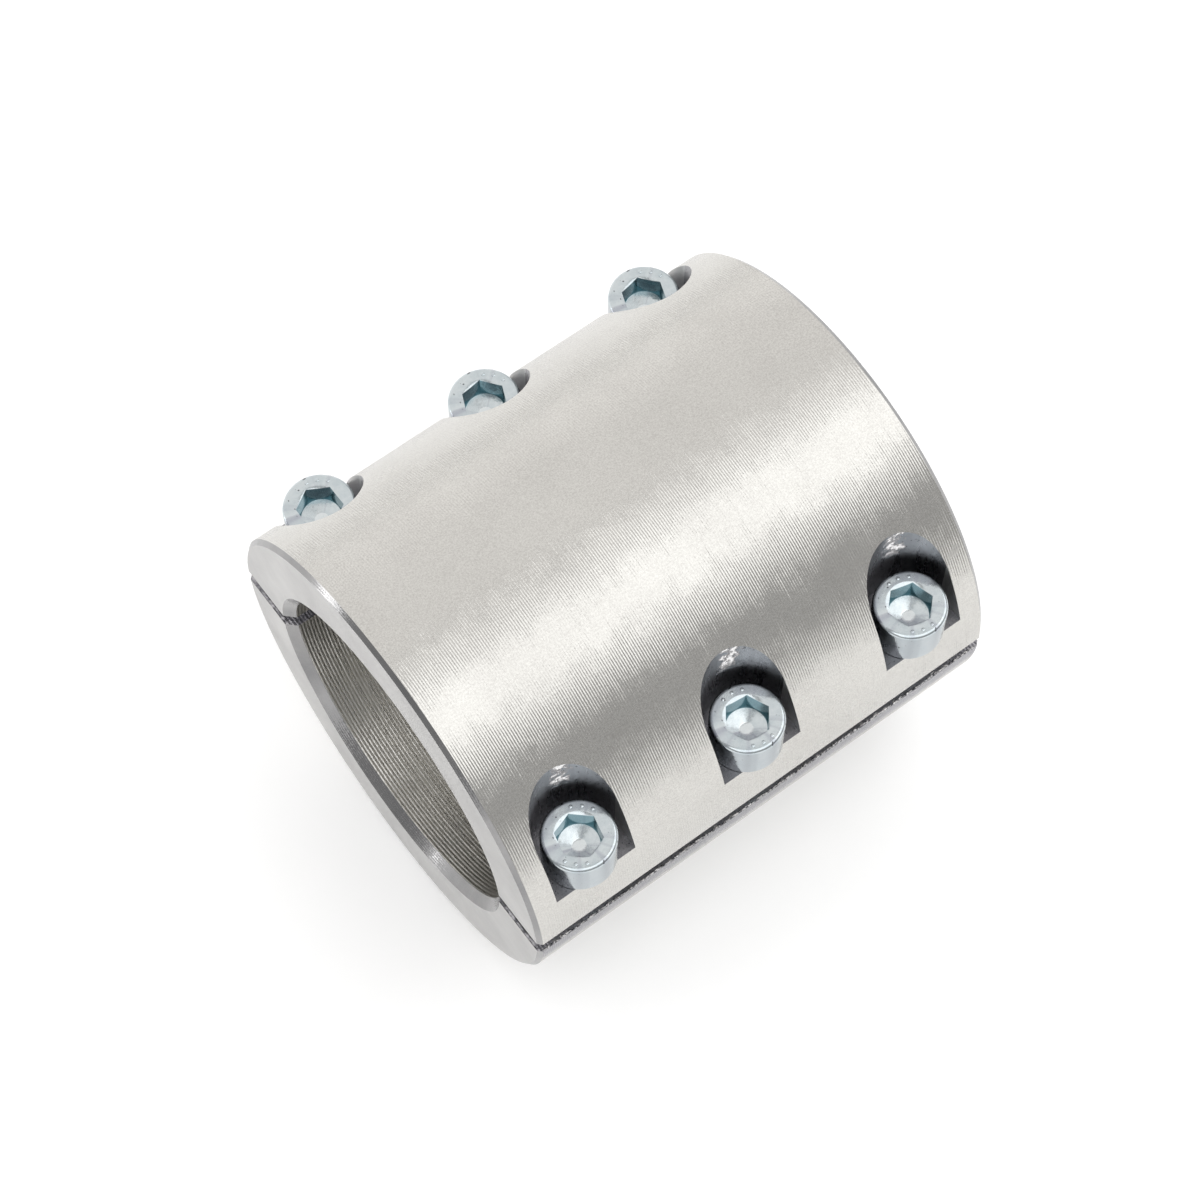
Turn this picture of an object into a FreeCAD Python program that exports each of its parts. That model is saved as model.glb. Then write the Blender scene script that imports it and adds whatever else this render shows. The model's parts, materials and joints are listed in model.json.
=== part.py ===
import FreeCAD, Part
import Sketcher
import math
import os

# Split tube clamp: a thick aluminium sleeve, turned and bored in one piece and then
# sawn along its length into two half shells. Six socket head cap screws, three along
# each side, stand in milled slots of the upper half and pull the lower half against
# the tube.
#
# Frame: X runs along the bore, from the left end to the right end. -Y is the front
# row of screws and +Y the rear row. Z runs up along the screws. The origin is on the
# bore's axis, halfway along the clamp.

doc = FreeCAD.newDocument("TubeClamp")


# Driving dimensions, in millimetres and degrees

DIMENSIONS = (
    # The turned sleeve
    ("bore_diameter", 85.0, "the size of the tube that it grips"),
    ("inner_wall", 3.0, "between the bore and the plain holes, at the split"),
    ("outer_wall", 2.5, "between the plain holes and the outside, at the split"),
    ("clamp_length", 133.5, "from end face to end face"),
    ("end_chamfer", 1.1, "round the outside of each end"),
    ("bore_chamfer", 2.4, "at each mouth of the bore"),
    ("split_gap", 4.8, "between the sawn faces when the screws are tight"),
    # Where the screws stand
    ("end_distance", 18.25, "from the end faces to the nearest screws"),
    ("seat_thickness", 14.35, "of the upper half under the screw heads"),
    ("slot_clearance", 2.25, "between a screw head and the wall of its slot"),
    ("hole_clearance", 0.5, "round a screw in its plain hole in the upper half"),
    ("thread_clearance", 0.05, "round a screw in its tapped hole in the lower half"),
    ("mouth_chamfer", 0.6, "at the mouth of each tapped hole"),
    # The cap screw
    ("thread_diameter", 12.0, "outside of the thread"),
    ("screw_length", 35.0, "under the head"),
    ("tip_chamfer", 1.0, "round the screw's tip"),
    ("head_diameter", 18.0, "of the cylindrical head"),
    ("head_height", 12.0, "of the cylindrical head"),
    ("head_rounding", 1.0, "of the head's rim"),
    ("socket_width", 10.0, "across the flats of the hexagon"),
    ("socket_depth", 6.0, "down to the foot of the flats"),
    ("socket_rim", 0.35, "lead-in cone past the corners of the hexagon"),
    ("socket_land", 0.15, "between the flats and the cone at their foot"),
    ("socket_floor", 3.4, "diameter of the flat spot under the cone"),
    # How far each socket is turned, from +X towards +Y
    ("turn_front_left", 18.0, "degrees"),
    ("turn_front_middle", 53.5, "degrees"),
    ("turn_front_right", 45.5, "degrees"),
    ("turn_rear_left", 31.0, "degrees"),
    ("turn_rear_middle", 7.0, "degrees"),
    ("turn_rear_right", 11.0, "degrees"),
)

# Rows of screws and places along each row, with their direction from the origin
ROWS = (("front", -1), ("rear", 1))
COLUMNS = (("left", -1), ("middle", 0), ("right", 1))

sheet = doc.addObject("Spreadsheet::Sheet", "Sizes")
for line, (alias, value, meaning) in enumerate(DIMENSIONS, start=1):
    sheet.set(f"A{line}", alias)
    sheet.set(f"B{line}", str(value))
    sheet.set(f"C{line}", meaning)
    sheet.setAlias(f"B{line}", alias)
doc.recompute()


# Sizes that follow from them, as expressions over the sheet

HALF_LENGTH = "Sizes.clamp_length / 2"
SCREW_SPACING = f"({HALF_LENGTH} - Sizes.end_distance)"
BORE_RADIUS = "Sizes.bore_diameter / 2"
HEAD_RADIUS = "Sizes.head_diameter / 2"
SHANK_RADIUS = "Sizes.thread_diameter / 2"
HOLE_RADIUS = f"({SHANK_RADIUS} + Sizes.hole_clearance)"
TAPPED_RADIUS = f"({SHANK_RADIUS} + Sizes.thread_clearance)"
SCREW_OFFSET = f"({BORE_RADIUS} + Sizes.inner_wall + {HOLE_RADIUS})"
OUTER_RADIUS = f"({SCREW_OFFSET} + {HOLE_RADIUS} + Sizes.outer_wall)"
SEAT_HEIGHT = "(Sizes.split_gap / 2 + Sizes.seat_thickness)"
SLOT_RADIUS = f"{HEAD_RADIUS} + Sizes.slot_clearance"
CORNER_RADIUS = "Sizes.socket_width / sqrt(3)"
RIM_RADIUS = f"({CORNER_RADIUS} + Sizes.socket_rim)"
POINT_RADIUS = "(Sizes.socket_width / 2 - Sizes.socket_land)"
FLOOR_RADIUS = "Sizes.socket_floor / 2"
SOCKET_FOOT = "Sizes.head_height - Sizes.socket_depth"

# The cones in a screw's socket have an included angle of 120 degrees: this is their
# depth for each millimetre of radius
CONE_SLOPE = "tan(30 deg)"

# Cutting tools run well past the metal, so that they never end on a face
PAST_OUTSIDE = f"(2 * {OUTER_RADIUS})"
PAST_END = "Sizes.clamp_length"


# Sketching

UPWARDS = FreeCAD.Vector(0, 0, 1)
NOTHING = 1e-9


def new_body(label):
    """A body that is named after the piece."""
    body = doc.addObject("PartDesign::Body", label)
    body.Label = label
    return body


def new_sketch(body, name, plane, height=None):
    """A sketch on one of the body's own origin planes, or at a height above it."""
    sketch = body.newObject("Sketcher::SketchObject", name)
    support = next(f for f in body.Origin.OriginFeatures if f.Role == plane)
    sketch.AttachmentSupport = [(support, "")]
    sketch.MapMode = "FlatFace"
    if height is not None:
        sketch.setExpression("AttachmentOffset.Base.z", height)
    return sketch


def point_at(sketch, across, along):
    """The point of the sketch at two distances, given as expressions."""
    x = float(sketch.evalExpression(across))
    y = float(sketch.evalExpression(along))
    return FreeCAD.Vector(x, y, 0)


def bind(sketch, constraint, expression):
    """Adds a constraint and ties its value to an expression."""
    index = sketch.addConstraint(constraint)
    sketch.setExpression(f"Constraints[{index}]", expression)


def pin_point(sketch, edge, end, across, along):
    """Holds one point of an edge at two distances from the sketch's origin."""
    point = point_at(sketch, across, along)
    distances = (("DistanceX", across, point.x, -2), ("DistanceY", along, point.y, -1))
    for kind, expression, value, axis in distances:
        if abs(value) < NOTHING:
            sketch.addConstraint(Sketcher.Constraint("PointOnObject", edge, end, axis))
        else:
            bind(sketch, Sketcher.Constraint(kind, -1, 1, edge, end, value), expression)


def draw_outline(sketch, corners):
    """A closed outline of straight edges, with each corner given by two expressions."""
    points = [point_at(sketch, across, along) for across, along in corners]
    edges = [
        sketch.addGeometry(Part.LineSegment(start, stop), False)
        for start, stop in zip(points, points[1:] + points[:1])
    ]
    for edge, next_edge in zip(edges, edges[1:] + edges[:1]):
        sketch.addConstraint(Sketcher.Constraint("Coincident", edge, 2, next_edge, 1))
    for edge, (across, along) in zip(edges, corners):
        pin_point(sketch, edge, 1, across, along)


def draw_circle(sketch, across, along, radius):
    """A circle about a point."""
    value = float(sketch.evalExpression(radius))
    circle = Part.Circle(point_at(sketch, across, along), UPWARDS, value)
    edge = sketch.addGeometry(circle, False)
    bind(sketch, Sketcher.Constraint("Radius", edge, value), radius)
    pin_point(sketch, edge, 3, across, along)


def draw_slot(sketch, across, along, radius, mouth):
    """A slot along Y with a half-round closed end about a point, and its open mouth."""
    value = float(sketch.evalExpression(radius))
    centre = point_at(sketch, across, along)
    mouth_y = float(sketch.evalExpression(mouth))
    # The closed end bulges away from the mouth
    start_angle = 0.0 if mouth_y < centre.y else math.pi
    circle = Part.Circle(centre, UPWARDS, value)
    arc = Part.ArcOfCircle(circle, start_angle, start_angle + math.pi)
    near_corner = FreeCAD.Vector(arc.EndPoint.x, mouth_y, 0)
    far_corner = FreeCAD.Vector(arc.StartPoint.x, mouth_y, 0)
    bend = sketch.addGeometry(arc, False)
    near = sketch.addGeometry(Part.LineSegment(arc.EndPoint, near_corner), False)
    open_end = sketch.addGeometry(Part.LineSegment(near_corner, far_corner), False)
    far = sketch.addGeometry(Part.LineSegment(far_corner, arc.StartPoint), False)
    sketch.addConstraint(Sketcher.Constraint("Tangent", bend, 2, near, 1))
    sketch.addConstraint(Sketcher.Constraint("Tangent", far, 2, bend, 1))
    sketch.addConstraint(Sketcher.Constraint("Coincident", near, 2, open_end, 1))
    sketch.addConstraint(Sketcher.Constraint("Coincident", open_end, 2, far, 1))
    sketch.addConstraint(Sketcher.Constraint("Vertical", near))
    sketch.addConstraint(Sketcher.Constraint("Vertical", far))
    sketch.addConstraint(Sketcher.Constraint("Horizontal", open_end))
    bind(sketch, Sketcher.Constraint("Radius", bend, value), radius)
    bind(sketch, Sketcher.Constraint("DistanceY", -1, 1, near, 2, mouth_y), mouth)
    pin_point(sketch, bend, 3, across, along)


# Features

def turn(body, kind, name, axis, corners):
    """Adds or cuts what an outline in the XZ plane sweeps in a full turn."""
    sketch = new_sketch(body, f"{name}Outline", "XZ_Plane")
    draw_outline(sketch, corners)
    feature = body.newObject(kind, name)
    feature.Profile = sketch
    feature.ReferenceAxis = (sketch, [axis])
    feature.Angle = 360
    return feature


def repeat_along(body, name, sketch, features):
    """Copies the left column's cuts to the other columns."""
    pattern = body.newObject("PartDesign::LinearPattern", name)
    pattern.Originals = features
    pattern.Direction = (sketch, ["H_Axis"])
    pattern.Mode = "Extent"
    pattern.Occurrences = len(COLUMNS)
    pattern.setExpression("Length", f"{len(COLUMNS) - 1} * {SCREW_SPACING}")
    body.Tip = pattern
    return pattern


def drill(body, name, sketch, diameter, mouth_diameter=None):
    """Drills a hole right through the body at each circle of the sketch."""
    doc.recompute()
    hole = body.newObject("PartDesign::Hole", name)
    hole.Profile = sketch
    hole.ThreadType = "None"
    hole.DepthType = "ThroughAll"
    hole.setExpression("Diameter", diameter)
    if mouth_diameter is not None:
        hole.HoleCutType = "Countersink"
        hole.HoleCutCustomValues = True
        hole.HoleCutCountersinkAngle = 90
        hole.setExpression("HoleCutDiameter", mouth_diameter)
    return hole


# The half shells

LEFT_COLUMN = f"-{SCREW_SPACING}"


def turned_half(label, side):
    """One half of the turned sleeve: side is 1 for the upper half, -1 for the lower."""
    body = new_body(label)
    face_rim = f"({OUTER_RADIUS} - Sizes.end_chamfer)"
    wall_end = f"({HALF_LENGTH} - Sizes.end_chamfer)"
    bore_rim = f"({BORE_RADIUS} + Sizes.bore_chamfer)"
    bore_end = f"({HALF_LENGTH} - Sizes.bore_chamfer)"
    wall = (
        (bore_end, BORE_RADIUS),
        (HALF_LENGTH, bore_rim),
        (HALF_LENGTH, face_rim),
        (wall_end, OUTER_RADIUS),
    )
    mirrored = tuple((f"-({across})", along) for across, along in reversed(wall))
    turn(body, "PartDesign::Revolution", "Turning", "H_Axis", wall + mirrored)

    cut_sketch = new_sketch(body, "SawOutline", "XZ_Plane")
    sawn_face = f"{side} * Sizes.split_gap / 2"
    cut_away = f"{-side} * {PAST_OUTSIDE}"
    corners = (
        (f"-{PAST_END}", sawn_face),
        (PAST_END, sawn_face),
        (PAST_END, cut_away),
        (f"-{PAST_END}", cut_away),
    )
    draw_outline(cut_sketch, corners)
    saw_cut = body.newObject("PartDesign::Pocket", "SawCut")
    saw_cut.Profile = cut_sketch
    saw_cut.Type = "ThroughAll"
    saw_cut.SideType = "Symmetric"
    return body


def upper_half():
    """Half shell with the open slots, flat seats and plain holes of the screws."""
    body = turned_half("upper_half", 1)
    slot_sketch = new_sketch(body, "SlotOutlines", "XY_Plane", SEAT_HEIGHT)
    hole_sketch = new_sketch(body, "PlainHoleCentres", "XY_Plane", SEAT_HEIGHT)
    for _, side in ROWS:
        along = f"{side} * {SCREW_OFFSET}"
        mouth = f"{side} * {PAST_OUTSIDE}"
        draw_slot(slot_sketch, LEFT_COLUMN, along, SLOT_RADIUS, mouth)
        draw_circle(hole_sketch, LEFT_COLUMN, along, HOLE_RADIUS)
    slots = body.newObject("PartDesign::Pocket", "Slots")
    slots.Profile = slot_sketch
    slots.Type = "ThroughAll"
    slots.Reversed = True
    holes = drill(body, "PlainHoles", hole_sketch, f"2 * {HOLE_RADIUS}")
    repeat_along(body, "SlotsAndHolesAlong", slot_sketch, [slots, holes])
    return body


def lower_half():
    """Half shell with the tapped holes, which run right through to its outside."""
    body = turned_half("lower_half", -1)
    sawn_face = "-Sizes.split_gap / 2"
    hole_sketch = new_sketch(body, "TappedHoleCentres", "XY_Plane", sawn_face)
    for _, side in ROWS:
        draw_circle(hole_sketch, LEFT_COLUMN, f"{side} * {SCREW_OFFSET}", TAPPED_RADIUS)
    diameter = f"2 * {TAPPED_RADIUS}"
    mouth = f"{diameter} + 2 * Sizes.mouth_chamfer"
    holes = drill(body, "TappedHoles", hole_sketch, diameter, mouth)
    repeat_along(body, "TappedHolesAlong", hole_sketch, [holes])
    return body


# The cap screws

def cap_screw(row, side, column, place):
    """Socket head cap screw, built with its seat at the body's own origin."""
    name = f"{row}_{column}"
    body = new_body(f"screw_{name}")
    chamfer_top = "Sizes.tip_chamfer - Sizes.screw_length"
    tip_radius = f"{SHANK_RADIUS} - Sizes.tip_chamfer"
    corners = (
        ("0", "Sizes.head_height"),
        (HEAD_RADIUS, "Sizes.head_height"),
        (HEAD_RADIUS, "0"),
        (SHANK_RADIUS, "0"),
        (SHANK_RADIUS, chamfer_top),
        (tip_radius, "-Sizes.screw_length"),
        ("0", "-Sizes.screw_length"),
    )
    turn(body, "PartDesign::Revolution", "Blank", "V_Axis", corners)
    round_head(body)
    sink_socket(body)
    body.setExpression("Placement.Base.x", f"{place} * {SCREW_SPACING}")
    body.setExpression("Placement.Base.y", f"{side} * {SCREW_OFFSET}")
    body.setExpression("Placement.Base.z", SEAT_HEIGHT)
    body.Placement.Rotation = FreeCAD.Rotation(UPWARDS, 1)
    body.setExpression("Placement.Rotation.Angle", f"Sizes.turn_{name}")
    return body


def round_head(body):
    """Rounds the rim of the head."""
    doc.recompute()
    blank = body.Tip
    top = sheet.head_height
    rims = [
        f"Edge{number}"
        for number, edge in enumerate(blank.Shape.Edges, start=1)
        if abs(edge.BoundBox.ZMin - top) < NOTHING + edge.Tolerance
    ]
    rounding = body.newObject("PartDesign::Fillet", "RoundedRim")
    rounding.Base = (blank, rims)
    rounding.setExpression("Radius", "Sizes.head_rounding")


def sink_socket(body):
    """Sinks the hexagon, its lead-in cone and the cone at its foot into the head."""
    top = "Sizes.head_height"
    hexagon = new_sketch(body, "Hexagon", "XY_Plane", top)
    directions = [60 * corner for corner in range(6)]
    corners = [
        (f"{CORNER_RADIUS} * cos({angle} deg)", f"{CORNER_RADIUS} * sin({angle} deg)")
        for angle in directions
    ]
    draw_outline(hexagon, corners)
    flats = body.newObject("PartDesign::Pocket", "Flats")
    flats.Profile = hexagon
    flats.Type = "Length"
    flats.setExpression("Length", "Sizes.socket_depth")

    lead_in = (
        ("0", top),
        (RIM_RADIUS, top),
        ("0", f"{top} - {RIM_RADIUS} * {CONE_SLOPE}"),
    )
    turn(body, "PartDesign::Groove", "LeadIn", "V_Axis", lead_in)

    floor = f"{SOCKET_FOOT} - ({POINT_RADIUS} - {FLOOR_RADIUS}) * {CONE_SLOPE}"
    foot = (
        ("0", SOCKET_FOOT),
        (POINT_RADIUS, SOCKET_FOOT),
        (FLOOR_RADIUS, floor),
        ("0", floor),
    )
    turn(body, "PartDesign::Groove", "FootCone", "V_Axis", foot)


pieces = [upper_half(), lower_half()]
for row, side in ROWS:
    for column, place in COLUMNS:
        pieces.append(cap_screw(row, side, column, place))
doc.recompute()


# Nothing is written unless every feature is sound and every cut has removed metal

CUTS = ("PartDesign::Pocket", "PartDesign::Groove", "PartDesign::Hole")

for item in doc.Objects:
    if "Invalid" in item.State or "Error" in item.State:
        raise RuntimeError(f"{item.Label} failed: {item.State}")
    if item.TypeId in CUTS and item.Shape.Volume >= item.BaseFeature.Shape.Volume:
        raise RuntimeError(f"{item.Label} removed nothing")
for piece in pieces:
    if piece.Shape.isNull() or not piece.Shape.isValid():
        raise RuntimeError(f"{piece.Label} has no valid shape")
    if len(piece.Shape.Solids) != 1:
        raise RuntimeError(f"{piece.Label} is not one solid")

os.makedirs("parts", exist_ok=True)
for piece in pieces:
    piece.Shape.exportStep(f"parts/{piece.Label}.step")
    print(f"{piece.Label}: {piece.Shape.Volume / 1000:.2f} cm3")
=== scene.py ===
import json
import math

import bmesh
import bpy
from mathutils import Matrix, Vector, noise


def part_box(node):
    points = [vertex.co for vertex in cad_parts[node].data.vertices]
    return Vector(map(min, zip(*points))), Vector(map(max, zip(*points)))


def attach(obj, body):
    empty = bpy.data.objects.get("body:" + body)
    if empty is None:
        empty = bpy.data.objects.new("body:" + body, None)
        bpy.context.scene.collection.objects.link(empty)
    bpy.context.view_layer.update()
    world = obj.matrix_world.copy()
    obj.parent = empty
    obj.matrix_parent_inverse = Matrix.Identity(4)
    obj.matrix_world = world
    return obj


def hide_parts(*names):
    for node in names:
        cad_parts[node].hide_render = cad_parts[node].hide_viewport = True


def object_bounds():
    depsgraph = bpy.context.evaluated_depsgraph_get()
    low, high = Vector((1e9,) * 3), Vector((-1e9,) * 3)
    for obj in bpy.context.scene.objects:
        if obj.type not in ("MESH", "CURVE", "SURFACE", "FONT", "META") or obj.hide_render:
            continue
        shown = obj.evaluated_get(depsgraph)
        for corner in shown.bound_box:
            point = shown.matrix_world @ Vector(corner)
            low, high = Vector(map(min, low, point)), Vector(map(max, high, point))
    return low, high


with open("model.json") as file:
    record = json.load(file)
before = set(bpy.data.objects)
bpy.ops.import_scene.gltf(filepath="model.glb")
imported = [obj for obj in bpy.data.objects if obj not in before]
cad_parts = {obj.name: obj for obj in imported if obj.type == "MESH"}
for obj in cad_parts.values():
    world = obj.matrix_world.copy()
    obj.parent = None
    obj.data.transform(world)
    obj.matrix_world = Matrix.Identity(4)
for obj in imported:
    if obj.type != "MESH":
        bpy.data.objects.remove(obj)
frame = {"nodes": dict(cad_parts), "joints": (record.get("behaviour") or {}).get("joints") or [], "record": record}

cad_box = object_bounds()


# Sizes, in metres. The clamp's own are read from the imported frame.

MM = 0.001
low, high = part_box("upper_half")
OUTER_RADIUS = high.z
HALF_LENGTH = high.x
SPLIT_TOP = low.z
SPLIT_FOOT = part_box("lower_half")[1].z
MOUNT = frame["record"]["mounts"][0]
BORE_RADIUS = MOUNT["dims"]["r_mm"] * MM
SCREW_AXES = {
    joint["child"]: Vector(joint["pos_m"])
    for joint in frame["joints"]
    if joint["child"].startswith("screw")
}
SEAT_HEIGHT = SCREW_AXES["screw_front_left"].z

# The cap screw
HEAD_RADIUS = 9.0 * MM
HEAD_HEIGHT = 12.0 * MM
HEAD_ROUNDING = 1.0 * MM
SCREW_LENGTH = 35.0 * MM
THREAD_RADIUS = 6.0 * MM
THREAD_PITCH = 1.75 * MM
THREAD_DEPTH = 0.613 * THREAD_PITCH
MARK_HEIGHT = 0.2 * MM
HOLE_RADIUS = 6.05 * MM
SOCKET_WIDTH = 10.0 * MM
SOCKET_DEPTH = 6.0 * MM
SOCKET_RIM = 0.14 * MM
SOCKET_LAND = 0.15 * MM
SOCKET_FLOOR = 3.4 * MM / 2
SOCKET_CORNER = SOCKET_WIDTH / math.sqrt(3)
LEAD_IN_SLOPE = 0.3
FOOT_SLOPE = 0.32
PLAIN_NECK = 1.8 * MM
PIP_RADIUS = 0.5 * MM
PIP_CIRCLE = 7.15 * MM
SOCKET_TURNS = {
    "screw_front_left": 18.0,
    "screw_front_middle": 53.5,
    "screw_front_right": 45.5,
    "screw_rear_left": 31.0,
    "screw_rear_middle": 7.0,
    "screw_rear_right": 11.0,
}

# The tapped holes' threads: where they start under the split, and where they have all run out
FEMALE_START = 0.8 * MM
FEMALE_END = -42.0 * MM

# Turning marks: one groove for each turn of the lathe
FEED = 0.64 * MM
BORE_FEED = 0.9 * MM
FACING_FEED = 0.45 * MM

# Marks of the saw and of the slot cutter, the painted dark reflection beside the cut, the painted highlight on the
# tears and the painted shade down the slots, by height on the clamp
SAW_PITCH = 0.9 * MM
DARK_REFLECTION_FOOT = -11.0 * MM
DARK_REFLECTION_TOP = -5.0 * MM
TEAR_HIGHLIGHT_FROM = 33.0 * MM
TEAR_HIGHLIGHT_FULL = 36.0 * MM
SLOT_SHADE_DEEPEST = 24.0 * MM
SLOT_SHADE_LEAST = 38.0 * MM
BURR_STEP = 0.22 * MM
BURR_MARGIN = 1.3 * MM
UPPER_BURR = 0.4 * MM
LOWER_BURR = 1.2 * MM

FLOOR_REACH = 20.0
FLOOR_GAP = 0.2 * MM

# The photograph's camera: 3146 pixels of focal length on a 1200 pixel frame
FOCAL_PIXELS = 3145.9
FRAME_PIXELS = 1200
CAMERA_PLACE = Vector((-0.19604, -0.25732, 0.69991))
CAMERA_RIGHT = Vector((0.80236, -0.59684, 0.00094))
CAMERA_FORWARD = Vector((0.25202, 0.33738, -0.90701))


# Node helpers

class Shader:
    """A node tree in which a node is added by kind, with its inputs by name."""

    def __init__(self, name):
        self.material = bpy.data.materials.new(name)
        self.material.use_nodes = True
        self.tree = self.material.node_tree
        self.surface = self.tree.nodes["Principled BSDF"]

    def put(self, socket, value):
        if isinstance(value, bpy.types.NodeSocket):
            self.tree.links.new(value, socket)
        else:
            socket.default_value = value

    def node(self, kind, inputs=None, **settings):
        made = self.tree.nodes.new("ShaderNode" + kind)
        for key, value in settings.items():
            setattr(made, key, value)
        for key, value in (inputs or {}).items():
            self.put(made.inputs[key], value)
        return made

    def math(self, operation, first, second=0.0):
        made = self.node("Math", {0: first, 1: second}, operation=operation)
        return made.outputs[0]

    def product(self, first, *others):
        for other in others:
            first = self.math("MULTIPLY", first, other)
        return first

    def total(self, first, second):
        return self.math("ADD", first, second)

    def vector(self, operation, first, second=(0.0, 0.0, 0.0)):
        made = self.node("VectorMath", {0: first, 1: second}, operation=operation)
        return made.outputs[0]

    def length(self, vector):
        return self.node("VectorMath", {0: vector}, operation="LENGTH").outputs["Value"]

    def xyz(self, **values):
        return self.node("CombineXYZ", values).outputs[0]

    def scaled(self, vector, factor):
        made = self.node("VectorMath", {0: vector, "Scale": factor}, operation="SCALE")
        return made.outputs[0]

    def noise(self, where, scale, detail=2.0, roughness=0.5):
        made = self.node(
            "TexNoise",
            {"Vector": where, "Scale": scale, "Detail": detail, "Roughness": roughness},
        )
        return made.outputs["Fac"]

    def spread(self, value, low, high, first, last):
        """Maps low..high of a value to first..last, without going past them."""
        made = self.node(
            "MapRange",
            {"Value": value, "From Min": low, "From Max": high, "To Min": first, "To Max": last},
        )
        return made.outputs[0]

    def colour(self, value):
        """A node's colour as it is, or three numbers as a colour."""
        return value if isinstance(value, bpy.types.NodeSocket) else (*value, 1.0)

    def tint(self, factor, first, second):
        """A colour between two, by a factor."""
        inputs = {0: factor, 6: self.colour(first), 7: self.colour(second)}
        return self.node("Mix", inputs, data_type="RGBA").outputs[2]

    def finish(self, **inputs):
        for key, value in inputs.items():
            self.put(self.surface.inputs[key.replace("_", " ")], value)
        return self.material

    def here(self):
        """The place on the object, in metres, which moves with it."""
        return self.node("TexCoord").outputs["Object"]

    def parts(self, vector):
        return self.node("SeparateXYZ", {0: vector}).outputs

    def grain(self, where, scale, detail=3.0, roughness=0.6):
        """Noise from -1 to 1."""
        return self.spread(self.noise(where, scale, detail, roughness), 0.3, 0.7, -1.0, 1.0)

    def tilt(self, direction, amount):
        """The surface's normal, leaned along an object direction by an amount."""
        world = self.node(
            "VectorTransform", {0: direction}, vector_type="VECTOR",
            convert_from="OBJECT", convert_to="WORLD",
        ).outputs[0]
        normal = self.node("NewGeometry").outputs["Normal"]
        leaned = self.vector("ADD", normal, self.scaled(world, amount))
        return self.vector("NORMALIZE", leaned)


def wave(shader, distance, period):
    """A sine along a distance, with its own period, from -1 to 1."""
    return shader.math("SINE", shader.product(distance, 2 * math.pi / period))


def depth_by_turn(shader, x, scale, shallow, deep):
    """How deep the tool cut on each turn, which changes along the bore's axis alone."""
    turn = shader.xyz(X=shader.product(x, scale))
    return shader.spread(shader.noise(turn, 1.0, 3.0, 0.7), 0.3, 0.7, shallow, deep)


# Materials

# Painted shade: the near-black of small pits, which have no depth of their own
PIT_SHADE = (0.08, 0.08, 0.09)
ALUMINIUM = (0.79, 0.78, 0.743)
ALUMINIUM_DARK = (0.615, 0.60, 0.573)


def turned_outside():
    """Fine grooves round the outside, one for each turn of the lathe."""
    s = Shader("turned_outside")
    here = s.here()
    axes = s.parts(here)
    x, y, z = axes["X"], axes["Y"], axes["Z"]
    wander = s.noise(here, 70.0, 1.0)
    groove = wave(s, s.total(x, s.product(wander, 0.3 * MM)), FEED)
    depth = depth_by_turn(s, x, 900.0, 0.6, 1.5)
    patch = s.spread(s.noise(here, 160.0, 3.0, 0.6), 0.35, 0.65, 0.6, 1.3)
    cut = s.product(groove, depth, patch)
    grain = s.grain(here, 2900.0, 1.0)
    # The cutter leaves each groove tilted along the clamp and a little round it
    along = s.total(s.product(cut, 0.10), s.product(grain, 0.05))
    around = s.total(s.product(cut, 0.09), s.product(grain, 0.025))
    round_axis = s.vector("NORMALIZE", s.xyz(Y=s.product(z, -1.0), Z=y))
    lean = s.vector("ADD", s.xyz(X=along), s.scaled(round_axis, around))
    cloud = s.noise(here, 45.0, 4.0, 0.6)
    fleck = s.spread(s.noise(here, 2300.0, 2.0, 0.6), 0.35, 0.70, 0.0, 0.8)
    shade = s.total(fleck, s.spread(cloud, 0.3, 0.7, 0.0, 0.3))
    # Painted reflection: the lower half's outside beside its cut is darkened, standing in for the shaded floor
    # that it mirrors
    ragged = s.total(z, s.product(s.noise(here, 500.0, 3.0, 0.7), 2.5 * MM))
    reflection_band = s.spread(ragged, DARK_REFLECTION_FOOT, DARK_REFLECTION_TOP, 0.0, 1.0)
    painted_reflection = s.product(reflection_band, s.math("LESS_THAN", z, 0.0))
    bare = s.tint(shade, ALUMINIUM, ALUMINIUM_DARK)
    reflection_colour = s.tint(s.noise(here, 1500.0, 3.0, 0.7), (0.20, 0.195, 0.22), (0.50, 0.49, 0.525))
    return s.finish(
        Base_Color=s.tint(painted_reflection, bare, reflection_colour),
        Metallic=1.0,
        Roughness=s.spread(cloud, 0.3, 0.7, 0.23, 0.29),
        Anisotropic=0.5,
        Anisotropic_Rotation=0.25,
        Tangent=s.node("Tangent", direction_type="RADIAL", axis="X").outputs[0],
        Normal=s.tilt(lean, 1.0),
    )


def faced(name, light, dark, roughness, depth):
    """A face turned in fine rings about the bore's axis."""
    s = Shader(name)
    here = s.here()
    axes = s.parts(here)
    outwards = s.xyz(Y=axes["Y"], Z=axes["Z"])
    ring = wave(s, s.length(outwards), FACING_FEED)
    grain = s.grain(here, 1800.0)
    cloud = s.noise(here, 60.0, 4.0, 0.6)
    lean = s.total(s.product(ring, depth), s.product(grain, depth * 1.5))
    return s.finish(
        Base_Color=s.tint(s.spread(cloud, 0.3, 0.7, 0.0, 1.0), light, dark),
        Metallic=1.0,
        Roughness=s.spread(cloud, 0.3, 0.7, roughness, roughness + 0.1),
        Normal=s.tilt(s.vector("NORMALIZE", outwards), lean),
    )


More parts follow.
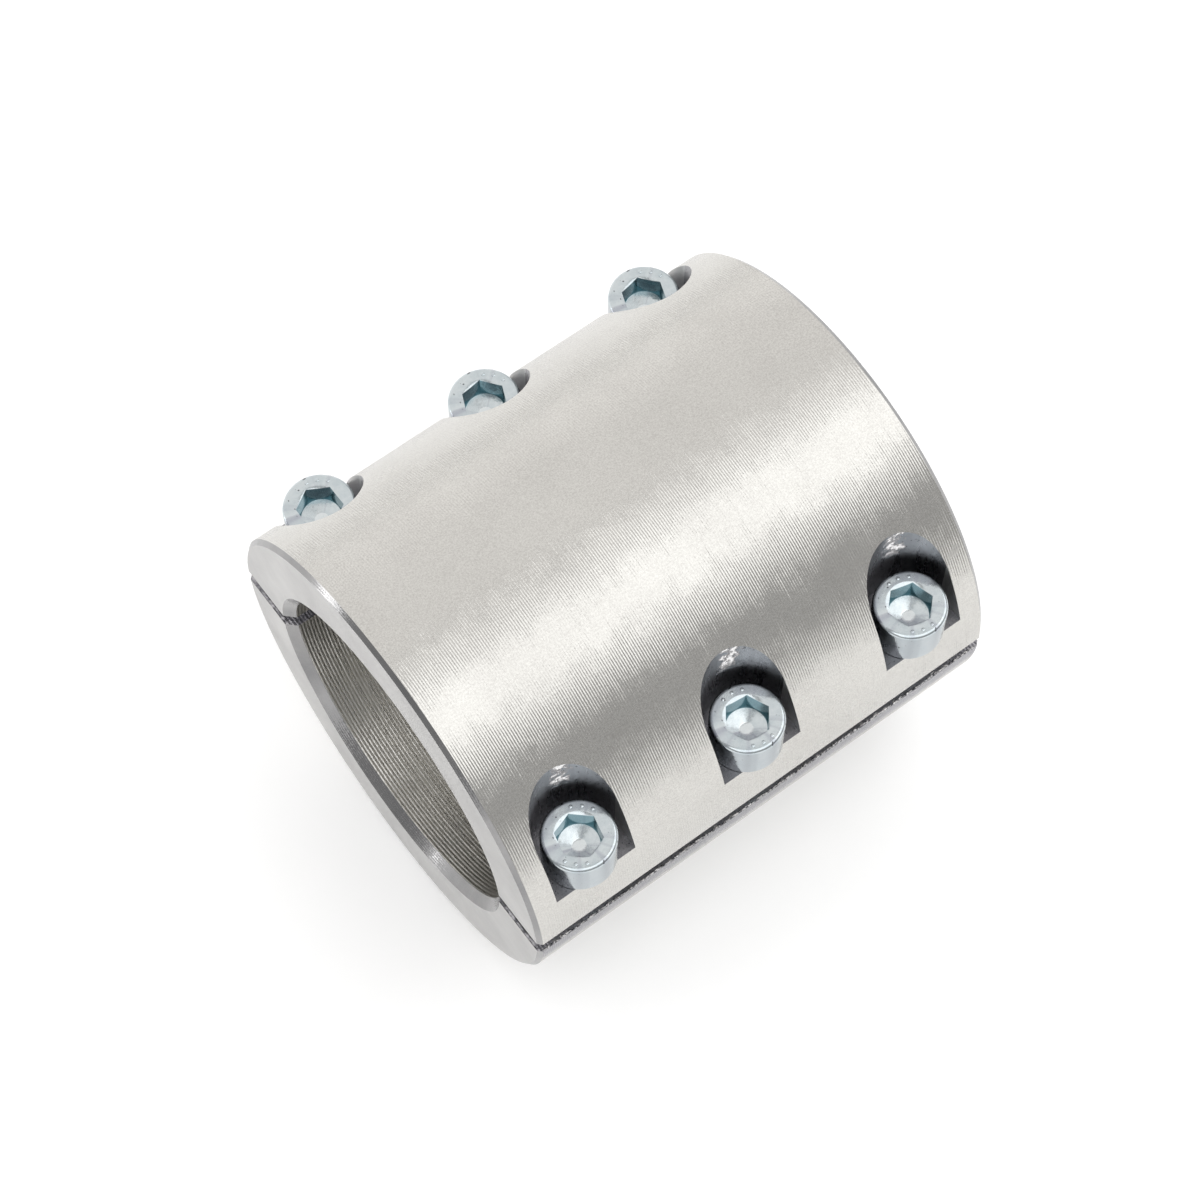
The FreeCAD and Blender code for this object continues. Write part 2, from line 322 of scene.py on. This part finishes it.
def bored_inside():
    """Coarser grooves of the boring bar inside the bore."""
    s = Shader("bored_inside")
    here = s.here()
    x = s.parts(here)["X"]
    cut = s.product(wave(s, x, BORE_FEED), depth_by_turn(s, x, 700.0, 0.4, 1.6))
    lean = s.total(s.product(cut, 0.16), s.product(s.grain(here, 1500.0), 0.06))
    return s.finish(
        Base_Color=s.tint(s.noise(here, 50.0, 4.0), ALUMINIUM, ALUMINIUM_DARK),
        Metallic=1.0,
        Roughness=depth_by_turn(s, x, 700.0, 0.22, 0.36),
        Normal=s.tilt((1.0, 0.0, 0.0), lean),
    )


def milled_slot():
    """Walls and seats of the slots: smooth, with painted shade that deepens towards the bottom, and a tear where
    the cutter went in, with a painted highlight on each tear.
    """
    s = Shader("milled_slot")
    here = s.here()
    axes = s.parts(here)
    x, y, z = axes["X"], axes["Y"], axes["Z"]
    streak = s.grain(s.xyz(X=s.product(x, 600.0), Y=s.product(y, 600.0), Z=s.product(z, 60.0)), 1.0)
    # The cutter tore the wall on its way in, high up on each closed end: the tear leans and is rough, and its
    # bright colour is a painted highlight
    facing = s.parts(s.node("TexCoord").outputs["Normal"])
    inwards = s.product(facing["Y"], s.math("SIGN", y))
    spot = s.math("SUBTRACT", s.product(inwards, 0.975), s.product(facing["X"], 0.22))
    ragged = s.total(spot, s.product(s.noise(here, 420.0, 3.0, 0.7), 0.20))
    tear_and_highlight = s.product(
        s.spread(ragged, 1.08, 1.11, 0.0, 1.0),
        s.spread(z, TEAR_HIGHLIGHT_FROM, TEAR_HIGHLIGHT_FULL, 0.0, 1.0),
    )
    rough = s.product(s.grain(here, 1100.0, 3.0, 0.7), s.total(s.product(tear_and_highlight, 0.3), 0.022))
    lift = s.total(s.product(tear_and_highlight, 2.1), s.product(rough, 2.0))
    lean = s.vector(
        "ADD",
        s.scaled((0.7, 0.7, 0.0), s.total(s.product(streak, 0.05), rough)),
        s.scaled((0.0, 0.0, 1.0), lift),
    )
    # Painted shade: the walls and seats get a dark colour, darkest low down in the slot
    upper = s.spread(z, SLOT_SHADE_DEEPEST, SLOT_SHADE_LEAST, 0.0, 1.0)
    shaded_wall = s.tint(upper, (0.23, 0.227, 0.24), (0.37, 0.365, 0.385))
    # The tear's bright colour is a painted highlight
    wall = s.tint(tear_and_highlight, shaded_wall, (0.76, 0.755, 0.755))
    # Painted shade in small pits
    shaded_pits = s.spread(s.noise(here, 1500.0, 2.0), 0.64, 0.70, 0.0, 1.0)
    return s.finish(
        Base_Color=s.tint(shaded_pits, wall, PIT_SHADE),
        Metallic=1.0,
        Roughness=s.spread(streak, -1.0, 1.0, 0.24, 0.34),
        Normal=s.tilt(lean, 1.0),
    )


def sawn_face():
    """Split faces, left as the saw cut them, with marks across their width."""
    s = Shader("sawn_face")
    here = s.here()
    wander = s.noise(here, 120.0, 2.0)
    mark = wave(s, s.total(s.parts(here)["X"], s.product(wander, 0.8 * MM)), SAW_PITCH)
    grain = s.grain(here, 1100.0, 4.0, 0.7)
    lean = s.total(s.product(mark, 0.2), s.product(grain, 0.35))
    return s.finish(
        Base_Color=s.tint(s.spread(grain, -1.0, 1.0, 0.0, 1.0), (0.66, 0.65, 0.67), (0.26, 0.26, 0.29)),
        Metallic=1.0,
        Roughness=s.spread(grain, -1.0, 1.0, 0.25, 0.5),
        Normal=s.tilt((1.0, 0.0, 0.0), lean),
    )


def burr_metal():
    """Torn metal of the burrs, bright and dark by turns: painted glints and painted shade in the grain of its
    colour.
    """
    s = Shader("burr_metal")
    grain = s.grain(s.here(), 1500.0, 2.0)
    return s.finish(
        Base_Color=s.tint(s.spread(grain, -0.4, 0.4, 0.0, 1.0), (0.92, 0.91, 0.90), (0.12, 0.12, 0.13)),
        Metallic=1.0,
        Roughness=s.spread(grain, -1.0, 1.0, 0.35, 0.5),
        Normal=s.tilt((0.3, 0.5, 0.7), s.spread(grain, -1.0, 1.0, 0.9, -0.5)),
    )


def drilled_hole():
    """Walls of the plain and tapped holes."""
    s = Shader("drilled_hole")
    here = s.here()
    grain = s.grain(here, 1500.0)
    groove = wave(s, s.parts(here)["Z"], 0.25 * MM)
    lean = s.total(s.product(groove, 0.06), s.product(grain, 0.06))
    return s.finish(
        Base_Color=s.tint(s.spread(grain, -1.0, 1.0, 0.0, 1.0), (0.62, 0.61, 0.60), (0.48, 0.48, 0.48)),
        Metallic=1.0,
        Roughness=s.spread(grain, -1.0, 1.0, 0.24, 0.36),
        Normal=s.tilt((0.0, 0.0, 1.0), lean),
    )


def zinc():
    """Bright zinc plating: bluish and streaked, with painted shade on the side of the head and down in the socket,
    and a painted highlight on the socket's flat foot.
    """
    s = Shader("zinc")
    here = s.here()
    axes = s.parts(here)
    height = axes["Z"]
    outwards = s.xyz(X=axes["X"], Y=axes["Y"])
    radius = s.length(outwards)
    cloud = s.noise(here, 300.0, 3.0, 0.6)
    plated = s.tint(s.spread(cloud, 0.35, 0.65, 0.0, 1.0), (0.71, 0.765, 0.785), (0.61, 0.68, 0.71))
    # Streaks run out from the screw's axis
    spoke = s.noise(s.scaled(s.vector("NORMALIZE", outwards), 2.2), 1.0, 1.5, 0.5)
    streaked = s.tint(s.spread(spoke, 0.50, 0.66, 0.0, 0.7), plated, (0.42, 0.43, 0.50))
    # Painted shade: the side of the head is darker than its top, in streaks
    side = s.product(
        s.math("GREATER_THAN", radius, HEAD_RADIUS - 0.03 * MM),
        s.spread(spoke, 0.35, 0.60, 0.5, 1.0),
    )
    shaded_side = s.tint(side, streaked, (0.46, 0.50, 0.53))
    # Thicker plating tints the walls of the socket teal, and their dark colour below the mouth is painted shade
    flat = SOCKET_WIDTH / 2
    inside = s.product(
        s.spread(radius, flat - 0.10 * MM, flat - 0.05 * MM, 0.0, 1.0),
        s.math("LESS_THAN", radius, SOCKET_CORNER + 0.03 * MM),
        s.math("GREATER_THAN", height, HEAD_HEIGHT - SOCKET_DEPTH - 1.0 * MM),
        s.spread(height, HEAD_HEIGHT - 0.7 * MM, HEAD_HEIGHT - 0.5 * MM, 0.85, 0.0),
    )
    socket = s.tint(inside, shaded_side, (0.07, 0.19, 0.225))
    # Painted highlight: the flat spot at the foot of the socket gets a brighter colour
    spot = s.product(
        s.math("LESS_THAN", radius, SOCKET_FLOOR + 0.05 * MM),
        s.math("GREATER_THAN", height, 0.0),
        0.75,
    )
    highlit_floor = s.tint(spot, socket, (0.84, 0.88, 0.89))
    # Painted shade in small pits
    shaded_pits = s.spread(s.noise(here, 900.0, 1.0), 0.74, 0.78, 0.0, 1.0)
    return s.finish(
        Base_Color=s.tint(shaded_pits, highlit_floor, PIT_SHADE),
        Metallic=1.0,
        Roughness=s.spread(cloud, 0.3, 0.7, 0.12, 0.22),
        Normal=s.tilt((0.6, 0.5, 0.6), s.product(s.grain(here, 1700.0), 0.03)),
    )


# Shells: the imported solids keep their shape, and each face gets the finish it was cut with

def dress_shell(node, finishes):
    """Gives each face of a shell the material of the cut that made it."""
    shell = frame["nodes"][node]
    mesh = shell.data
    mesh.materials.clear()
    order = list(finishes)
    for name in order:
        mesh.materials.append(finishes[name])
    near = 0.06 * MM
    for face in mesh.polygons:
        centre, normal = face.center, face.normal
        radii = [math.hypot(mesh.vertices[v].co.y, mesh.vertices[v].co.z) for v in face.vertices]
        on_bore = max(abs(r - BORE_RADIUS) for r in radii) < near
        on_outside = max(abs(r - OUTER_RADIUS) for r in radii) < near
        split = min(abs(centre.z - SPLIT_TOP), abs(centre.z - SPLIT_FOOT)) < near
        if abs(normal.z) > 0.999 and split:
            kind = "sawn"
        elif on_bore and abs(normal.x) < 0.1:
            kind = "bore"
        elif on_outside and abs(normal.x) < 0.1 and normal.dot(Vector((0, centre.y, centre.z))) > 0:
            kind = "outside"
        elif abs(normal.x) > 0.99:
            kind = "end"
        elif abs(normal.x) > 0.3 and HALF_LENGTH - abs(centre.x) < 2.6 * MM:
            kind = "rim"
        elif centre.z > SEAT_HEIGHT - near and node == "upper_half":
            kind = "slot"
        else:
            kind = "hole"
        face.material_index = order.index(kind)


finishes = {
    "outside": turned_outside(),
    "end": faced("faced_end", (0.66, 0.655, 0.645), (0.58, 0.575, 0.57), 0.32, 0.03),
    # Painted shade: the end chamfer is the same faced metal, given a darker colour
    "rim": faced("end_chamfer", (0.42, 0.415, 0.415), (0.28, 0.28, 0.285), 0.14, 0.05),
    "bore": bored_inside(),
    "slot": milled_slot(),
    "sawn": sawn_face(),
    "hole": drilled_hole(),
}
for node in ("upper_half", "lower_half"):
    dress_shell(node, finishes)


# Cap screws

SIDES = 96
SMOOTH_BELOW = math.radians(28)


def add_object(name, mesh, material):
    """An object with a finished mesh, smooth except across its sharp edges."""
    data = bpy.data.meshes.new(name)
    bmesh.ops.recalc_face_normals(mesh, faces=mesh.faces)
    mesh.to_mesh(data)
    mesh.free()
    data.shade_smooth()
    data.set_sharp_from_angle(angle=SMOOTH_BELOW)
    data.materials.append(material)
    made = bpy.data.objects.new(name, data)
    bpy.context.scene.collection.objects.link(made)
    return made


def screw_outline(turn):
    """Radius and height of a screw's rings, from the middle of its socket to its shank."""
    face = HEAD_HEIGHT - MARK_HEIGHT
    rim = SOCKET_CORNER + SOCKET_RIM
    foot = HEAD_HEIGHT - SOCKET_DEPTH
    point = SOCKET_WIDTH / 2 - SOCKET_LAND
    floor = foot - (point - SOCKET_FLOOR) * FOOT_SLOPE

    def level(value):
        return lambda angle: value

    def wall(angle):
        """How far the hexagon's wall is from the axis, in one direction."""
        step = math.radians(60)
        from_flat = (angle - turn + 1e-6) % step - step / 2
        return SOCKET_WIDTH / 2 / math.cos(from_flat)

    def wall_top(angle):
        return face - (rim - wall(angle)) * LEAD_IN_SLOPE

    edge = 0.12 * MM
    rings = [
        (level(SOCKET_FLOOR * 0.5), level(floor)),
        (level(SOCKET_FLOOR), level(floor)),
        (level(point), level(foot)),
        (wall, level(foot)),
        (wall, wall_top),
        (level(rim), level(face)),
        (level(rim + edge), level(face)),
    ]
    steps = 6
    for step in range(steps + 1):
        bend = math.pi / 2 * step / steps
        radius = HEAD_RADIUS - HEAD_ROUNDING * (1 - math.sin(bend))
        rings.append((level(radius), level(face - HEAD_ROUNDING * (1 - math.cos(bend)))))
    underside = 0.3 * MM
    rings.append((level(HEAD_RADIUS), level(underside)))
    rings.append((level(HEAD_RADIUS - underside), level(0.0)))
    rings.append((level(THREAD_RADIUS - 0.02 * MM), level(0.0)))
    return rings


def add_thread(mesh, turn, top, end):
    """A right-hand thread between two heights. Its first ring is a plain circle."""
    crest = THREAD_RADIUS - 0.02 * MM
    root = crest - THREAD_DEPTH
    profile = ((0.0, 0.0), (0.125, 0.0), (0.4375, 1.0), (0.6875, 1.0))
    turns = int((top - end) / THREAD_PITCH) + 3
    rows = []
    for number in range(turns):
        for share, depth in profile:
            row = []
            for i in range(SIDES):
                angle = turn + 2 * math.pi * i / SIDES
                height = top - THREAD_PITCH * (number + share - i / SIDES)
                fade = min(max((top - height) / THREAD_PITCH, 0.0), 1.0)
                radius = crest - (crest - root) * depth * fade
                height = min(max(height, end), top)
                # The chamfered tip cuts the thread down to just under its root
                cone = root - 0.05 * MM + (height - end) * 1.1
                radius = min(radius, cone)
                place = (radius * math.cos(angle), radius * math.sin(angle), height)
                row.append(mesh.verts.new(place))
            rows.append(row)
    span = len(profile)
    for k in range(len(rows) - 1):
        upper, lower = rows[k], rows[k + 1]
        for i in range(SIDES - 1):
            mesh.faces.new((upper[i], lower[i], lower[i + 1], upper[i + 1]))
        # After a full turn a row meets the row one pitch above it
        last_upper = rows[k - span][0] if k >= span else rows[0][0]
        last_lower = rows[k + 1 - span][0] if k + 1 >= span else rows[0][0]
        corners = [upper[SIDES - 1], lower[SIDES - 1]]
        for corner in (last_lower, last_upper):
            if corner not in corners:
                corners.append(corner)
        if len(corners) > 2:
            mesh.faces.new(corners)
    return rows


def add_marks(mesh, turn):
    """Raised round pips on the head, three on each side: a plain pattern that says nothing."""
    base = HEAD_HEIGHT - MARK_HEIGHT - 0.02 * MM
    points = 16
    dome = ((1.0, 0.0), (0.92, 0.5), (0.68, 0.85), (0.32, 1.0))
    for side in (0.0, math.pi):
        for number in range(3):
            angle = turn + side + math.radians(21.0 * (number - 1) + 30.0)
            middle = PIP_CIRCLE * Vector((math.cos(angle), math.sin(angle), 0.0))
            rings = []
            for width, share in dome:
                ring = []
                for i in range(points):
                    around = 2 * math.pi * i / points
                    offset = width * PIP_RADIUS * Vector((math.cos(around), math.sin(around), 0.0))
                    height = base + (HEAD_HEIGHT - base) * share
                    ring.append(mesh.verts.new(middle + offset + Vector((0, 0, height))))
                rings.append(ring)
            for lower, upper in zip(rings, rings[1:]):
                for i in range(points):
                    j = (i + 1) % points
                    mesh.faces.new((lower[i], lower[j], upper[j], upper[i]))
            mesh.faces.new(rings[-1])
            mesh.faces.new(rings[0][::-1])


def build_screw(node, material):
    """A cap screw with its thread, in place of the plain solid."""
    turn = math.radians(SOCKET_TURNS[node])
    mesh = bmesh.new()
    rings = []
    for radius_at, height_at in screw_outline(turn):
        ring = []
        for i in range(SIDES):
            angle = turn + 2 * math.pi * i / SIDES
            radius = radius_at(angle)
            place = (radius * math.cos(angle), radius * math.sin(angle), height_at(angle))
            ring.append(mesh.verts.new(place))
        rings.append(ring)
    mesh.faces.new(rings[0])
    rows = add_thread(mesh, turn, -PLAIN_NECK, -SCREW_LENGTH)
    rings.append(rows[0])
    for upper, lower in zip(rings, rings[1:]):
        for i in range(SIDES):
            j = (i + 1) % SIDES
            mesh.faces.new((upper[i], lower[i], lower[j], upper[j]))
    bmesh.ops.remove_doubles(mesh, verts=mesh.verts, dist=1e-7)
    bmesh.ops.dissolve_degenerate(mesh, edges=mesh.edges, dist=1e-7)
    open_edges = [edge for edge in mesh.edges if len(edge.link_faces) == 1]
    bmesh.ops.holes_fill(mesh, edges=open_edges, sides=0)
    add_marks(mesh, turn)
    screw = add_object(node + "_look", mesh, material)
    screw.location = SCREW_AXES[node]
    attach(screw, node)
    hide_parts(node)


zinc_plating = zinc()
for node in SCREW_AXES:
    build_screw(node, zinc_plating)


# Threads of the tapped holes

def build_female_threads(material):
    """Ridges that stand in the tapped holes and lie in the grooves of the screws."""
    mesh = bmesh.new()
    columns = 72
    wall = HOLE_RADIUS + 0.03 * MM
    rise_to = wall - THREAD_RADIUS + THREAD_DEPTH - 0.04 * MM
    top = SPLIT_FOOT - FEMALE_START
    fade = 0.8 * MM
    # Each ridge's section: the share of its full rise, and the height beside its middle
    section = ((0.0, 0.68 * MM), (1.0, 0.17 * MM), (1.0, -0.17 * MM), (0.0, -0.68 * MM))
    # The middle of the screw's groove lies this far under the crest's upper edge
    groove = (0.4375 + 0.125) * THREAD_PITCH
    for node, axis in SCREW_AXES.items():
        turn = math.radians(SOCKET_TURNS[node])
        crest_top = axis.z - PLAIN_NECK
        first = int((crest_top - top) / THREAD_PITCH)
        last = int((crest_top - FEMALE_END) / THREAD_PITCH) + 1
        previous = None
        for step in range(first * columns, last * columns):
            angle = turn - 2 * math.pi * step / columns
            middle = crest_top - THREAD_PITCH * step / columns - groove
            # The ridge runs out before the clamp's outside and before the split
            place = Vector((0.0, axis.y + wall * math.sin(angle), middle))
            inside = OUTER_RADIUS - 0.9 * MM - place.yz.length
            rise = min(max(inside / fade, 0.0), 1.0)
            rise *= min(max((top - middle) / fade, 0.0), 1.0)
            row = None
            if rise > 0.0:
                row = []
                for share, beside in section:
                    radius = wall - rise_to * share * rise
                    corner = (
                        axis.x + radius * math.cos(angle),
                        axis.y + radius * math.sin(angle),
                        middle + beside,
                    )
                    row.append(mesh.verts.new(corner))
            if previous and row:
                for i in range(len(section) - 1):
                    mesh.faces.new((previous[i], previous[i + 1], row[i + 1], row[i]))
            previous = row
    threads = add_object("tapped_threads", mesh, material)
    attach(threads, "lower_half")


build_female_threads(finishes["hole"])


# Burrs that the saw left along the split

def build_burrs(body, height, up, tallest, material):
    """A ragged sliver of metal along both edges of a sawn face, standing into the gap."""
    mesh = bmesh.new()
    inset = 0.02 * MM
    edge_y = math.sqrt(OUTER_RADIUS ** 2 - height ** 2) - inset
    count = int(2 * (HALF_LENGTH - BURR_MARGIN) / BURR_STEP)
    for side in (-1, 1):
        previous = None
        for number in range(count + 1):
            x = -HALF_LENGTH + BURR_MARGIN + BURR_STEP * number
            spot = Vector((x * 420, side * 7.0, height * 900))
            ragged = noise.noise(spot) + 0.6 * noise.noise(spot * 4.1)
            rise = tallest * min(max(ragged + 0.35, 0.06), 1.0)
            width = 0.5 * MM + 0.8 * MM * abs(noise.noise(spot * 1.6))
            lean = 0.10 * MM * noise.noise(spot * 1.7)
            foot = height - up * 0.05 * MM
            row = [
                mesh.verts.new((x, side * edge_y, foot)),
                mesh.verts.new((x, side * (edge_y - width * 0.35 + lean), height + up * rise)),
                mesh.verts.new((x, side * (edge_y - width), foot)),
            ]
            if previous:
                mesh.faces.new((previous[0], previous[1], row[1], row[0]))
                mesh.faces.new((previous[1], previous[2], row[2], row[1]))
            else:
                mesh.faces.new(row)
            previous = row
        mesh.faces.new(previous[::-1])
    burrs = add_object(body + "_burrs", mesh, material)
    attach(burrs, body)


torn_metal = burr_metal()
build_burrs("upper_half", SPLIT_TOP, -1, UPPER_BURR, torn_metal)
build_burrs("lower_half", SPLIT_FOOT, 1, LOWER_BURR, torn_metal)


# Camera

def add_camera():
    """The photograph's camera, which looks down on the clamp from the front left."""
    data = bpy.data.cameras.new("camera")
    camera = bpy.data.objects.new("camera", data)
    bpy.context.scene.collection.objects.link(camera)
    data.sensor_width = 36.0
    data.lens = FOCAL_PIXELS / FRAME_PIXELS * data.sensor_width
    data.clip_start = 0.01
    data.clip_end = 100.0
    backward = -CAMERA_FORWARD.normalized()
    right = (CAMERA_RIGHT - backward * CAMERA_RIGHT.dot(backward)).normalized()
    up = backward.cross(right)
    turn = Matrix((right, up, backward)).transposed()
    camera.matrix_world = Matrix.Translation(CAMERA_PLACE) @ turn.to_4x4()
    bpy.context.scene.camera = camera


add_camera()


# Floor and light

def add_floor():
    """A plain white floor just under the clamp, which keeps the clamp's shadow."""
    data = bpy.data.meshes.new("floor")
    height = cad_box[0][2] - FLOOR_GAP
    signs = ((-1, -1), (1, -1), (1, 1), (-1, 1))
    corners = [(FLOOR_REACH * x, FLOOR_REACH * y, height) for x, y in signs]
    data.from_pydata(corners, [], [(0, 1, 2, 3)])
    floor = bpy.data.objects.new("floor", data)
    bpy.context.scene.collection.objects.link(floor)
    s = Shader("floor_white")
    path = s.node("LightPath").outputs
    # From below the floor is clear, so that the underside can be looked at
    clear = s.node("BsdfTransparent").outputs[0]
    below = s.node("NewGeometry").outputs["Backfacing"]
    both = s.node("MixShader", {0: below, 1: s.surface.outputs[0], 2: clear}).outputs[0]
    s.put(s.tree.nodes["Material Output"].inputs["Surface"], both)
    # Far out, where the lamps fade, the floor still looks white
    away = s.length(s.here())
    glow = s.product(path["Is Camera Ray"], s.spread(away, 0.6, 3.5, 0.20, 0.70))
    # Painted light under the clamp: the floor glows for mirrored rays only, so the clamp's foot mirrors no black
    # contact shadow
    reflection_glow = s.product(path["Is Glossy Ray"], s.spread(away, 0.07, 0.14, 0.16, 0.0))
    s.finish(
        Base_Color=(0.9, 0.9, 0.9, 1.0),
        Roughness=1.0,
        Specular_IOR_Level=0.0,
        Emission_Color=(1.0, 1.0, 1.0, 1.0),
        Emission_Strength=s.total(glow, reflection_glow),
    )
    data.materials.append(s.material)


def add_softbox(name, towards, distance, length, width, turn, radiance):
    """A soft rectangular lamp that faces the clamp from one direction."""
    data = bpy.data.lights.new(name, "AREA")
    data.shape = "RECTANGLE"
    data.size = length
    data.size_y = width
    data.energy = radiance * math.pi * length * width
    lamp = bpy.data.objects.new(name, data)
    bpy.context.scene.collection.objects.link(lamp)
    towards = Vector(towards).normalized()
    along = Vector((1, 0, 0))
    along = (along - towards * along.dot(towards)).normalized()
    across = towards.cross(along)
    basis = Matrix((along, across, towards)).transposed().to_4x4()
    lamp.matrix_world = (
        Matrix.Translation(towards * distance) @ basis @ Matrix.Rotation(turn, 4, "Z")
    )
    lamp.visible_camera = False
    return lamp


def add_world():
    """White behind the clamp, and a plain grey level for everything that it lights."""
    world = bpy.data.worlds.new("studio")
    bpy.context.scene.world = world
    world.use_nodes = True
    tree = world.node_tree
    background = tree.nodes["Background"]
    background.inputs["Color"].default_value = (1.0, 1.0, 1.0, 1.0)
    path = tree.nodes.new("ShaderNodeLightPath")
    level = tree.nodes.new("ShaderNodeMapRange")
    level.inputs["To Min"].default_value = 0.40
    level.inputs["To Max"].default_value = 1.0
    tree.links.new(path.outputs["Is Camera Ray"], level.inputs["Value"])
    tree.links.new(level.outputs[0], background.inputs["Strength"])


def add_lamps():
    """Soft lamps over and behind the clamp, placed by what its turned outside mirrors."""
    add_softbox("key", (0.15, -0.35, 0.92), 1.2, 3.2, 0.95, math.radians(7), 0.98)
    fill = add_softbox("fill", (0.0, 0.74, 0.67), 1.6, 4.0, 2.75, 0.0, 0.46)
    fill.data.color = (1.0, 0.975, 0.955)
    add_softbox("low_fill", (0.0, 0.97, 0.24), 2.2, 5.0, 1.0, 0.0, 0.10)
    # A small one that only the edge of the left end mirrors
    glint = add_softbox("edge_glint", (-0.75, 0.66, 0.02), 1.5, 0.32, 0.22, 0.0, 3.0)
    glint.visible_diffuse = False
    # Lights the floor, and isn't mirrored in the metal
    top = add_softbox("floor_light", (0.0, 0.0, 1.0), 3.0, 9.0, 9.0, 0.0, 0.42)
    top.visible_glossy = False


add_floor()
add_world()
add_lamps()
bpy.context.scene.view_settings.view_transform = "Standard"
